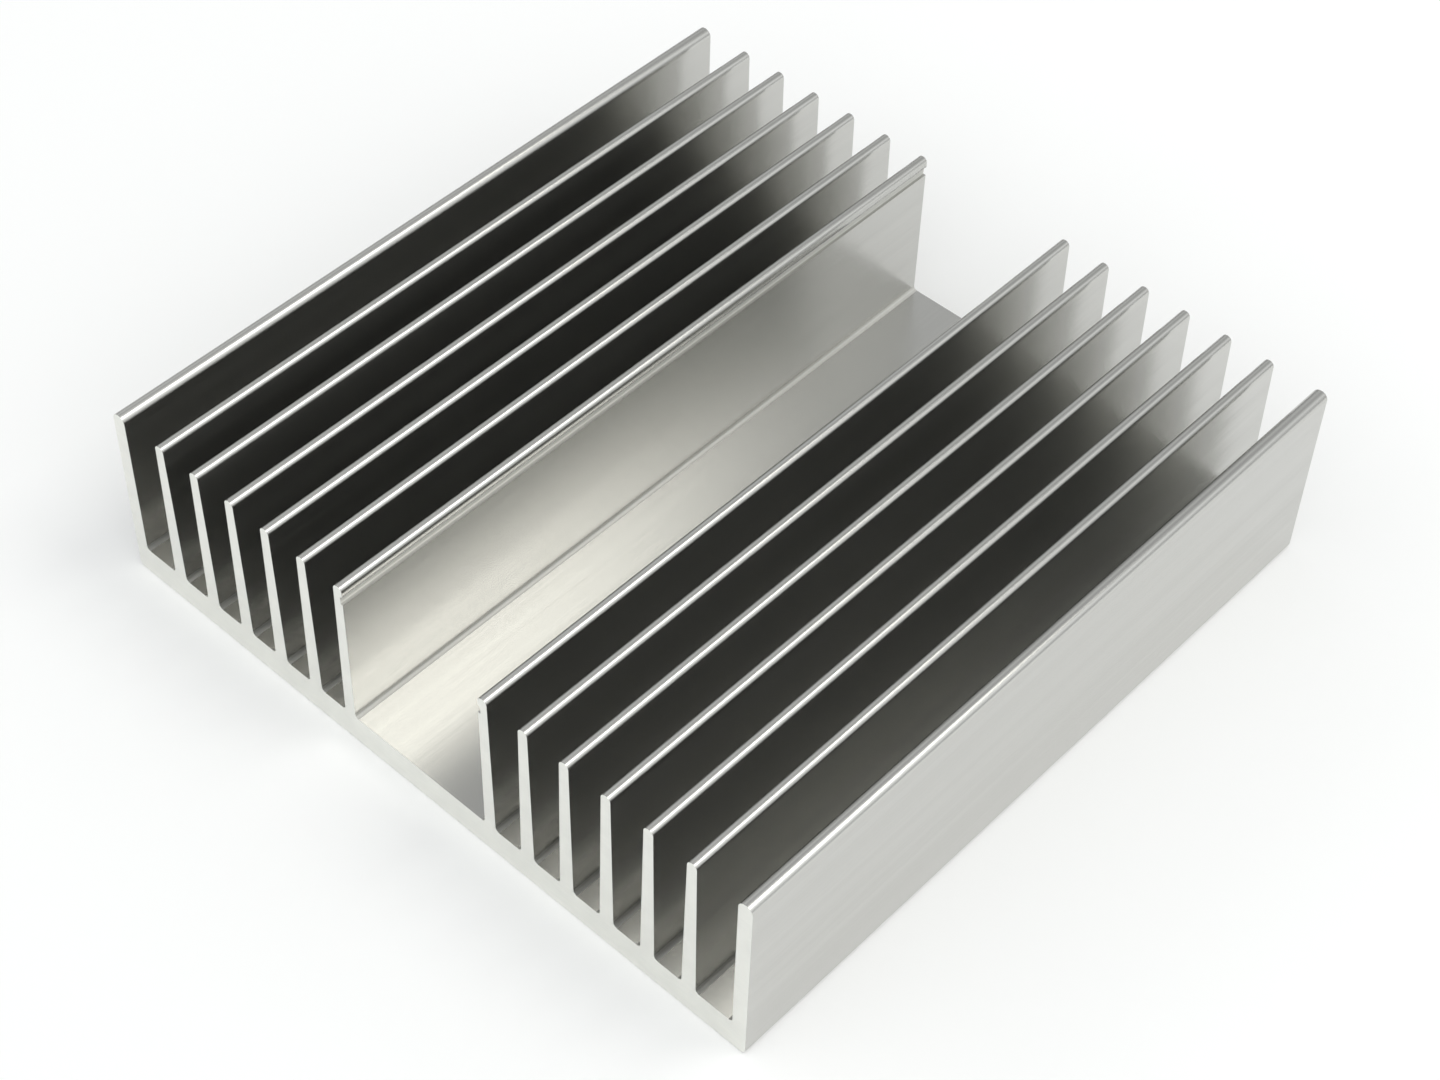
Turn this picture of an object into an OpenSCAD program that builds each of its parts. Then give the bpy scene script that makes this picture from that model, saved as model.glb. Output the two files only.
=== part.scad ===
// Extruded heat sink: a flat base plate with upright fins and an open channel down the middle.
// The profile runs along Y. The underside lies on Z = 0 and the origin is at its centre.

/* [Body] */
// Width across the two side fins
body_w = 150; // [110:1:250]
// Length of the sawn piece
body_len = 150; // [20:1:400]
// Height from the underside to the fin tips
body_h = 40; // [20:0.5:60]
// Thickness of the base plate
base_t = 6.3; // [3:0.1:12]
// Radius of the two lower edges
lower_edge_r = 1.1; // [0.2:0.1:2.5]

/* [Channel] */
// Width of the open channel between the two fins that face it
channel_w = 32; // [12:0.5:60]

/* [Fins] */
// Distance from one fin to the next
fin_pitch = 9.1; // [6:0.1:14]
// Thickness of a fin just under its rounded tip
fin_tip_t = 2.1; // [1.2:0.1:3]
// Taper of a fin's face from upright, in degrees
fin_taper = 0.9; // [0:0.05:1.5]
// Thickness of each side fin, whose faces are both upright
side_fin_t = 3; // [1.5:0.1:5]
// Fillet radius where a fin meets the base
foot_r = 0.8; // [0.2:0.1:1.5]

/* [Clip grooves] */
// Height of the fin head above the groove
head_h = 2; // [1.6:0.1:5]
// Height of the groove's mouth
groove_h = 2; // [1:0.1:4]
// Depth of the groove into the fin
groove_depth = 0.55; // [0.2:0.05:0.9]
// Height of the groove's sloping upper wall
groove_slope_h = 0.4; // [0.1:0.1:0.9]

/* [Hidden] */
$fn = 64;

lap = 0.1; // how far shapes reach into their neighbours, so that they join or cut cleanly

channel_x = channel_w / 2;
channel_fin_x = channel_x + fin_tip_t / 2;
side_fin_x = body_w / 2 - side_fin_t / 2;

// A tapered face steps out by foot_spread between the tip and the foot
foot_spread = (body_h - fin_tip_t / 2 - base_t - foot_r) * tan(fin_taper);
foot_t = fin_tip_t + 2 * foot_spread;

// Full fins stand at the pitch from the channel fin for as long as the gap left beside
// the side fin is no narrower than the gaps between them
fin_gap = fin_pitch - foot_t;
fin_reach = side_fin_x - side_fin_t / 2 - fin_gap - foot_t / 2 - channel_fin_x;
fin_count = floor(fin_reach / fin_pitch);

// Fills a square inside corner at the origin with a concave arc, and laps over both walls
module corner_fillet(r) {
    difference() {
        translate([-lap, -lap]) square(r + lap);
        translate([r, r]) circle(r);
    }
}

// Fillet at the right-hand foot of a fin whose face meets the base at x
module foot_fillet(x) {
    translate([x, base_t]) corner_fillet(foot_r);
}

// An upright fin centred on X = 0. Its left and right faces spread out by the given amounts
// between the rounded tip and the foot.
module fin(tip_t, spread_left, spread_right) {
    tip_r = tip_t / 2;
    tip_z = body_h - tip_r;
    left = -tip_r - spread_left;
    right = tip_r + spread_right;
    polygon([
        [left, lower_edge_r],
        [right, lower_edge_r],
        [right, base_t + foot_r],
        [tip_r, tip_z],
        [-tip_r, tip_z],
        [left, base_t + foot_r]
    ]);
    translate([0, tip_z]) circle(tip_r);
}

// Tapered on both faces
module full_fin() {
    fin(fin_tip_t, foot_spread, foot_spread);
    foot_fillet(foot_t / 2);
    mirror([1, 0]) foot_fillet(foot_t / 2);
}

// Upright towards the channel and tapered on the other face, with the clip groove in its head
module channel_fin() {
    groove_top = body_h - head_h;
    ledge_z = groove_top - groove_h;
    face = -fin_tip_t / 2;
    difference() {
        fin(fin_tip_t, 0, foot_spread);
        polygon([
            [face - lap, ledge_z],
            [face + groove_depth, ledge_z],
            [face + groove_depth, groove_top - groove_slope_h],
            [face, groove_top],
            [face - lap, groove_top]
        ]);
    }
    foot_fillet(fin_tip_t / 2 + foot_spread);
    mirror([1, 0]) foot_fillet(fin_tip_t / 2);
}

// Upright on both faces, flush with the side of the base
module side_fin() {
    fin(side_fin_t, 0, 0);
    mirror([1, 0]) foot_fillet(side_fin_t / 2);
}

module base_section() {
    difference() {
        translate([-body_w / 2, 0]) square([body_w, base_t]);
        for (side = [0, 1])
            mirror([side, 0]) translate([-body_w / 2, 0]) corner_fillet(lower_edge_r);
    }
}

// The fins to the right of the middle
module fin_bank() {
    translate([channel_fin_x, 0]) channel_fin();
    for (i = [1:1:fin_count])
        translate([channel_fin_x + i * fin_pitch, 0]) full_fin();
    translate([side_fin_x, 0]) side_fin();
}

module heat_sink() {
    color([0.82, 0.82, 0.80])
        rotate([90, 0, 0])
        linear_extrude(body_len, center = true) {
            base_section();
            for (side = [0, 1])
                mirror([side, 0]) fin_bank();
        }
}

heat_sink();
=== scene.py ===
import math

import bmesh
import bpy
from mathutils import Matrix, Vector


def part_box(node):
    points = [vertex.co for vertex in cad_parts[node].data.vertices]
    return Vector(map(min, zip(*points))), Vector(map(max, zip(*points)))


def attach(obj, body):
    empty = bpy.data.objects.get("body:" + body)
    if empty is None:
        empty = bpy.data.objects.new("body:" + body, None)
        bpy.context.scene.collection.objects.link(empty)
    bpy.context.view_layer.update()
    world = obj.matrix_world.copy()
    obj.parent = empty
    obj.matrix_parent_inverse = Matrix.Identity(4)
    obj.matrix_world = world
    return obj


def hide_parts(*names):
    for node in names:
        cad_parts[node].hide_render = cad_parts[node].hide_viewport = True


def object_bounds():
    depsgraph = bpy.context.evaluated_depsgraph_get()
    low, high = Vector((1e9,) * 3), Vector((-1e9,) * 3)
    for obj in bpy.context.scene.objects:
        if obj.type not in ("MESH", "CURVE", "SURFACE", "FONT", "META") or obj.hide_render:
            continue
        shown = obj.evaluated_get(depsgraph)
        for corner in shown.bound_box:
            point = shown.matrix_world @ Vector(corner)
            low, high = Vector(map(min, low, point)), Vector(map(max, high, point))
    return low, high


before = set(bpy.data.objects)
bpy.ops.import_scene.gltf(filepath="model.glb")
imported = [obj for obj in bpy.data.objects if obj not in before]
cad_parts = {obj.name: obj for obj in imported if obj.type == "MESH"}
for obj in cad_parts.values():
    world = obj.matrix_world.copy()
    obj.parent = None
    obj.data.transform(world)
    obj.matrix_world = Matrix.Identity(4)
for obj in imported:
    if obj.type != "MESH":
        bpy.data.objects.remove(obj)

mm = 0.001
cadLow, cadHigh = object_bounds()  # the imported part's box

# camera

cameraSettings = {
    "azimuth": 43.683,  # degrees to the right of the fins
    "elevation": 47.428,
    "roll": 0.154,
    "distance": 528.11 * mm,
    "aim": Vector((-21.612, 0, -1.421)) * mm,
    "lens": 69.971,
    "sensor": 36,
    "shift": (0.0607, -0.0274),
    "clipStart": 10 * mm,
}


def placeCamera(settings):
    azimuth = math.radians(settings["azimuth"])
    elevation = math.radians(settings["elevation"])
    back = Vector((
        math.sin(azimuth) * math.cos(elevation),
        -math.cos(azimuth) * math.cos(elevation),
        math.sin(elevation),
    ))
    right = Vector((math.cos(azimuth), math.sin(azimuth), 0))
    turn = Matrix((right, back.cross(right), back)).transposed()
    turn = turn @ Matrix.Rotation(math.radians(settings["roll"]), 3, "Z")
    data = bpy.data.cameras.new("camera")
    data.sensor_width = settings["sensor"]
    data.lens = settings["lens"]
    data.shift_x, data.shift_y = settings["shift"]
    data.clip_start = settings["clipStart"]
    camera = bpy.data.objects.new("camera", data)
    camera.matrix_world = Matrix.Translation(settings["aim"] + back * settings["distance"]) @ turn.to_4x4()
    bpy.context.scene.collection.objects.link(camera)
    bpy.context.scene.camera = camera


placeCamera(cameraSettings)
print("camera placed")

# heat sink profile

profile = {
    "baseThickness": 6.3 * mm,
    "channelWidth": 32 * mm,
    "finPitch": 9.1 * mm,
    "fullFins": 5,  # each side, between the channel fin and the side fin
    "finTip": 2.1 * mm,
    "finTaper": 0.9,  # degrees
    "sideFin": 3 * mm,
    "headHeight": 2 * mm,
    "grooveHeight": 2 * mm,
    "grooveDepth": 0.55 * mm,
    "grooveSlope": 0.4 * mm,
    "ledgeFall": 0.01 * mm,  # the groove's ledge is a hair off level
    "footRadius": 0.8 * mm,
    "lowerEdgeRadius": 1.1 * mm,
    "sawnEdge": 0.12 * mm,  # broken edge round the sawn ends
    "sawnSteps": 2,
    "tipFlat": 0.01 * mm,  # left between a tip's two rounds, then welded
    "roundSteps": 8,
    "near": 0.001 * mm,  # corners closer than this are taken as one
    "flatAngle": 0.1,  # degrees; faces that turn less are joined
    "sharpAngle": 50,
    "endwise": 0.99,  # how squarely a sawn face looks along the extrusion
}

sawnSlot = 1  # places in the list of finishes, where 0 is the mill finish
roughPaintedLightSlot = 2


def raiseFin(section, settings, left, right, stations):
    # grows one fin up from the base's top edge between left and right
    near = settings["near"]
    foot = [
        e for e in section.edges
        if all(abs(v.co.z - settings["baseThickness"]) < near for v in e.verts)
        and all(left - near < v.co.x < right + near for v in e.verts)
    ]
    for height, stationLeft, stationRight in stations:
        grown = bmesh.ops.extrude_edge_only(section, edges=foot)["geom"]
        foot = [g for g in grown if isinstance(g, bmesh.types.BMEdge)]
        ends = sorted((g for g in grown if isinstance(g, bmesh.types.BMVert)), key=lambda v: v.co.x)
        ends[0].co.x, ends[1].co.x = stationLeft, stationRight
        for end in ends:
            end.co.z = height


def finList(settings, height, halfWidth):
    # each fin to the right of the middle: its foot's two sides, then its stations on the way up
    slope = math.tan(math.radians(settings["finTaper"]))
    halfTip = settings["finTip"] / 2

    def flank(z):
        return halfTip + (height - halfTip - z) * slope

    halfFoot = flank(settings["baseThickness"])
    face = settings["channelWidth"] / 2
    middle = face + halfTip
    grooveTop = height - settings["headHeight"]
    ledge = grooveTop - settings["grooveHeight"]
    inner = face + settings["grooveDepth"]
    channelSide = [
        (ledge - settings["ledgeFall"], face),
        (ledge, inner),
        (grooveTop - settings["grooveSlope"], inner),
        (grooveTop, face),
        (height, face),
    ]
    fins = [(face, middle + halfFoot, [(z, x, middle + flank(z)) for z, x in channelSide])]
    for _ in range(settings["fullFins"]):
        middle += settings["finPitch"]
        tipStation = (height, middle - flank(height), middle + flank(height))
        fins.append((middle - halfFoot, middle + halfFoot, [tipStation]))
    sideFace = halfWidth - settings["sideFin"]
    fins.append((sideFace, halfWidth, [(height, sideFace, halfWidth)]))
    return fins


def longEdges(body, test, near):
    # edges that run along the extrusion and pass the test on their x and z
    return [
        e for e in body.edges
        if all(abs(e.verts[0].co[k] - e.verts[1].co[k]) < near for k in (0, 2))
        and test(abs(e.verts[0].co.x), e.verts[0].co.z)
    ]


def roundEdges(body, edges, radius, steps):
    return bmesh.ops.bevel(
        body, geom=edges, offset=radius, offset_type="OFFSET", segments=steps,
        profile=0.5, affect="EDGES", clamp_overlap=False, material=-1,
    )["faces"]


def grooveFaces(body, settings, height):
    # the back wall and the sloping top of both grooves, but not their ledges
    near = settings["near"]
    mouth = settings["channelWidth"] / 2
    top = height - settings["headHeight"]
    ledge = top - settings["grooveHeight"]
    found = []
    for face in body.faces:
        middle = face.calc_center_median()
        deep = mouth + near < abs(middle.x) < mouth + settings["grooveDepth"] + near
        if deep and ledge + near < middle.z < top:
            found.append(face)
    return found


def makeHeatSink(settings, low, high):
    near = settings["near"]
    base = settings["baseThickness"]
    height = high.z
    halfWidth = high.x
    body = bmesh.new()

    # half of the section, standing at the front end
    bmesh.ops.create_grid(body, x_segments=1, y_segments=1, size=0.5)
    bmesh.ops.transform(
        body, verts=body.verts,
        matrix=Matrix.Translation((halfWidth / 2, low.y, base / 2))
        @ Matrix.Rotation(math.radians(90), 4, "X")
        @ Matrix.Diagonal((halfWidth, base, 1, 1)),
    )
    fins = finList(settings, height, halfWidth)
    for left, right, _ in fins:
        for x in (left, right):
            bmesh.ops.bisect_plane(
                body, geom=body.verts[:] + body.edges[:] + body.faces[:],
                plane_co=(x, 0, 0), plane_no=(1, 0, 0), dist=near,
            )
    for left, right, stations in fins:
        raiseFin(body, settings, left, right, stations)
    bmesh.ops.mirror(body, geom=body.verts[:] + body.edges[:] + body.faces[:], axis="X", merge_dist=near)
    bmesh.ops.remove_doubles(body, verts=body.verts, dist=near)
    bmesh.ops.recalc_face_normals(body, faces=body.faces)
    bmesh.ops.dissolve_limit(
        body, angle_limit=math.radians(settings["flatAngle"]), verts=body.verts, edges=body.edges,
    )
    print("section has", len(body.faces), "face and", len(body.verts), "corners")

    # drawn out to its length
    grown = bmesh.ops.extrude_face_region(body, geom=body.faces[:])["geom"]
    bmesh.ops.translate(
        body, verts=[g for g in grown if isinstance(g, bmesh.types.BMVert)], vec=(0, high.y - low.y, 0),
    )
    bmesh.ops.recalc_face_normals(body, faces=body.faces)

    # rounds that the die leaves
    steps = settings["roundSteps"]
    inSideFin = halfWidth - settings["sideFin"] - near
    halfHead = settings["finTip"] / 2 * (1 - math.tan(math.radians(settings["finTaper"])))
    flat = settings["tipFlat"] / 2
    sideTips = longEdges(body, lambda x, z: z > height - near and x > inSideFin, near)
    roundEdges(body, sideTips, settings["sideFin"] / 2 - flat, steps)
    otherTips = longEdges(body, lambda x, z: z > height - near and x < inSideFin - settings["sideFin"], near)
    roundEdges(body, otherTips, halfHead - flat, steps)
    bmesh.ops.remove_doubles(body, verts=body.verts, dist=2 * settings["tipFlat"])
    feet = longEdges(body, lambda x, z: abs(z - base) < near, near)
    feetFaces = roundEdges(body, feet, settings["footRadius"], steps)
    lowerEdges = longEdges(body, lambda x, z: z < near and x > halfWidth - near, near)
    roundEdges(body, lowerEdges, settings["lowerEdgeRadius"], steps)

    # the metal drags in the corners at the feet and inside the grooves, and comes out rougher; these faces
    # also get a lighter colour, which is painted light that brightens the dark reflection of their rounds
    # and hollows
    for face in feetFaces + grooveFaces(body, settings, height):
        face.material_index = roughPaintedLightSlot

    # sawn ends, with their edges just broken
    ends = [f for f in body.faces if abs(f.normal.y) > settings["endwise"]]
    for end in ends:
        end.material_index = sawnSlot
    rims = [e for e in body.edges if any(f.material_index == sawnSlot for f in e.link_faces)]
    roundEdges(body, rims, settings["sawnEdge"], settings["sawnSteps"])

    mesh = bpy.data.meshes.new("extrusion")
    body.to_mesh(mesh)
    body.free()
    piece = bpy.data.objects.new("extrusion", mesh)
    bpy.context.scene.collection.objects.link(piece)
    mesh.shade_smooth()
    mesh.set_sharp_from_angle(angle=math.radians(settings["sharpAngle"]))
    normals = piece.modifiers.new("even faces", "WEIGHTED_NORMAL")
    normals.keep_sharp = True
    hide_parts("heat_sink")
    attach(piece, "root")
    return piece


extrusion = makeHeatSink(profile, *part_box("heat_sink"))
print("heat sink built,", len(extrusion.data.polygons), "faces")

# finishes


def nodeMaker(material):
    # returns a function that adds a node and sets its sockets and links by name
    tree = material.node_tree

    def add(kind, **inputs):
        node = tree.nodes.new("ShaderNode" + kind)
        for name, value in inputs.items():
            if name[0].islower():
                setattr(node, name, value)
                continue
            socket = node.inputs[name.replace("_", " ")]
            if isinstance(value, bpy.types.NodeSocket):
                tree.links.new(value, socket)
            else:
                socket.default_value = value
        return node

    return add


def newMaterial(name):
    material = bpy.data.materials.new(name)
    material.use_nodes = True
    material.node_tree.nodes.clear()
    return material


def grain(add, place, size, stretch=1, detail=0):
    # noise whose grains have a size, and may be drawn out along the extrusion
    spread = add("Mapping", Vector=place, Scale=(1 / size, 1 / size / stretch, 1 / size))
    return add("TexNoise", Vector=spread.outputs[0], Scale=1.0, Detail=detail).outputs[0]


def between(add, value, low, high, start=0.35, stop=0.65):
    # turns noise into a value that runs from low to high
    node = add("MapRange", Value=value, From_Min=start, From_Max=stop, To_Min=low, To_Max=high)
    return node.outputs[0]


def combined(add, operation, first, second):
    # two values added or multiplied
    node = add("Math", operation=operation)
    node.id_data.links.new(first, node.inputs[0])
    node.id_data.links.new(second, node.inputs[1])
    return node.outputs[0]


def shaded(add, colour, amount):
    # a colour made lighter or darker by an amount about one
    node = add("VectorMath", operation="SCALE", Scale=amount)
    node.inputs[0].default_value = colour
    return node.outputs[0]


millFinish = {
    "colour": (0.592, 0.59, 0.568),
    "roughness": 0.23,
    "anisotropy": 0.75,
    "lineWidth": 0.5 * mm,  # fine lines that the die leaves
    "lineStretch": 300,
    "lineShade": 0.01,
    "lineGloss": 0.015,
    "lineDepth": 0.001 * mm,
    "bandWidth": 4 * mm,  # broader bands where the metal ran a little smoother
    "bandStretch": 60,
    "bandShade": 0.008,
    "bandGloss": 0.012,
}

roughPaintedLightFinish = {  # in the corners at the feet and inside the grooves: rougher metal, and a lighter colour that is painted light
    **millFinish,
    # lighter than the mill finish: a painted reflection, brightening the dark line these corners and grooves
    # would show
    "colour": (0.70, 0.698, 0.67),
    "roughness": 0.55,
    "lineShade": 0.05,
    "lineGloss": 0.06,
    "lineDepth": 0.003 * mm,
}


def makeMillFinish(name, settings):
    # drawn through a die: fine lines run along the extrusion, and the gloss spreads across them
    material = newMaterial(name)
    add = nodeMaker(material)
    place = add("TexCoord").outputs["Object"]
    lines = grain(add, place, settings["lineWidth"], settings["lineStretch"], detail=1)
    bands = grain(add, place, settings["bandWidth"], settings["bandStretch"])
    lineShade, bandShade = settings["lineShade"], settings["bandShade"]
    shade = combined(
        add, "MULTIPLY",
        between(add, lines, 1 + lineShade, 1 - lineShade),
        between(add, bands, 1 - bandShade, 1 + bandShade),
    )
    roughness, lineGloss, bandGloss = settings["roughness"], settings["lineGloss"], settings["bandGloss"]
    gloss = combined(
        add, "ADD",
        between(add, lines, roughness - lineGloss, roughness + lineGloss),
        between(add, bands, bandGloss, -bandGloss),
    )
    across = add("VectorMath", operation="CROSS_PRODUCT")
    material.node_tree.links.new(add("NewGeometry").outputs["Normal"], across.inputs[0])
    across.inputs[1].default_value = (0, 1, 0)  # along the extrusion
    relief = add("Bump", Height=lines, Distance=settings["lineDepth"], Strength=1.0)
    metal = add(
        "BsdfPrincipled", Metallic=1.0, Anisotropic=settings["anisotropy"], Tangent=across.outputs[0],
        Base_Color=shaded(add, settings["colour"], shade), Roughness=gloss, Normal=relief.outputs[0],
    )
    add("OutputMaterial", Surface=metal.outputs[0])
    return material


sawnFinish = {
    "colour": (0.815, 0.817, 0.78),
    "roughness": 0.5,
    "scratchWidth": 0.15 * mm,  # left by the saw's teeth as they cross the end
    "scratchStretch": 25,
    "scratchTurn": 8,  # degrees off level
    "scratchShade": 0.02,
    "scratchDepth": 0.004 * mm,
    "mottleSize": 4 * mm,
    "mottleShade": 0.02,
    "mottleGloss": 0.05,
}


def makeSawnFinish(settings):
    # cut across by a fine saw: an even matt surface with faint scratches
    material = newMaterial("sawn_finish")
    add = nodeMaker(material)
    place = add("TexCoord").outputs["Object"]
    width = settings["scratchWidth"]
    spread = add(
        "Mapping", Vector=place, Rotation=(0, math.radians(settings["scratchTurn"]), 0),
        Scale=(1 / width / settings["scratchStretch"], 1 / width, 1 / width),
    )
    scratches = add("TexNoise", Vector=spread.outputs[0], Scale=1.0, Detail=1.0).outputs[0]
    mottle = grain(add, place, settings["mottleSize"], detail=2)
    scratchShade, mottleShade = settings["scratchShade"], settings["mottleShade"]
    shade = combined(
        add, "MULTIPLY",
        between(add, scratches, 1 - scratchShade, 1 + scratchShade),
        between(add, mottle, 1 - mottleShade, 1 + mottleShade),
    )
    roughness, mottleGloss = settings["roughness"], settings["mottleGloss"]
    gloss = between(add, mottle, roughness - mottleGloss, roughness + mottleGloss)
    relief = add("Bump", Height=scratches, Distance=settings["scratchDepth"], Strength=1.0)
    metal = add(
        "BsdfPrincipled", Metallic=1.0,
        Base_Color=shaded(add, settings["colour"], shade), Roughness=gloss, Normal=relief.outputs[0],
    )
    add("OutputMaterial", Surface=metal.outputs[0])
    return material


finishes = [
    makeMillFinish("mill_finish", millFinish),
    makeSawnFinish(sawnFinish),
    makeMillFinish("rough_painted_light_finish", roughPaintedLightFinish),
]
for finish in finishes:
    extrusion.data.materials.append(finish)
print("finishes made")

# studio

studio = {
    "floorSize": 8.0,
    "floorDrop": 0.05 * mm,  # just under the part, so that the two don't touch
    "floorColour": (0.95, 0.95, 0.95, 1),
    "wallLight": (  # elevation in degrees and brightness, from the horizon to overhead
        (0, 0.62), (15, 0.68), (30, 1.22), (40, 1.3), (50, 0.6), (60, 0.75), (90, 1.0),
    ),
    "wallColour": (0.985, 1.0, 1.0),
    "tilt": (0.22, -0.52),  # brighter to the right and in front
    "softboxHeight": 2.0,
    "softboxCentre": (1.02, 0.80),
    "softboxSize": (1.15, 1.05),
    "softboxStrength": 2.6,
    "softboxColour": (1.0, 0.985, 0.94),
}


def makeFloor(settings, level):
    ground = bmesh.new()
    bmesh.ops.create_grid(ground, x_segments=1, y_segments=1, size=settings["floorSize"] / 2)
    bmesh.ops.translate(ground, verts=ground.verts, vec=(0, 0, level))
    mesh = bpy.data.meshes.new("floor")
    ground.to_mesh(mesh)
    ground.free()
    floor = bpy.data.objects.new("floor", mesh)
    bpy.context.scene.collection.objects.link(floor)
    material = newMaterial("floor_paper")
    add = nodeMaker(material)
    paper = add("BsdfDiffuse", Color=settings["floorColour"])
    add("OutputMaterial", Surface=paper.outputs[0])
    mesh.materials.append(material)


def makeWorld(settings):
    # soft light from all round, graded by height, a little stronger in front and to the right
    world = bpy.data.worlds.new("studio")
    world.use_nodes = True
    world.node_tree.nodes.clear()
    add = nodeMaker(world)
    toward = add("TexCoord").outputs["Generated"]
    rise = add("SeparateXYZ", Vector=toward).outputs["Z"]
    ramp = add("ValToRGB", Fac=rise)
    strongest = max(level for _, level in settings["wallLight"])
    stops = ramp.color_ramp.elements
    for degrees, level in settings["wallLight"][1:-1]:
        stops.new(math.sin(math.radians(degrees)))
    for stop, (degrees, level) in zip(stops, settings["wallLight"]):
        stop.position = math.sin(math.radians(degrees))
        stop.color = (*(level / strongest * part for part in settings["wallColour"]), 1)
    lean = add("VectorMath", operation="DOT_PRODUCT")
    world.node_tree.links.new(toward, lean.inputs[0])
    lean.inputs[1].default_value = (*settings["tilt"], 0)
    strength = between(add, lean.outputs["Value"], 0, 2 * strongest, -1, 1)
    glow = add("Background", Color=ramp.outputs["Color"], Strength=strength)
    add("OutputWorld", Surface=glow.outputs[0])
    bpy.context.scene.world = world


def makeSoftbox(settings):
    width, depth = settings["softboxSize"]
    data = bpy.data.lights.new("softbox", "AREA")
    data.shape = "RECTANGLE"
    data.size, data.size_y = width, depth
    data.color = settings["softboxColour"]
    data.energy = settings["softboxStrength"] * 4 * width * depth
    light = bpy.data.objects.new("softbox", data)
    light.location = (*settings["softboxCentre"], settings["softboxHeight"])
    bpy.context.scene.collection.objects.link(light)


makeFloor(studio, cadLow.z - studio["floorDrop"])
makeWorld(studio)
makeSoftbox(studio)
bpy.context.scene.view_settings.view_transform = "Standard"
print("studio lit")
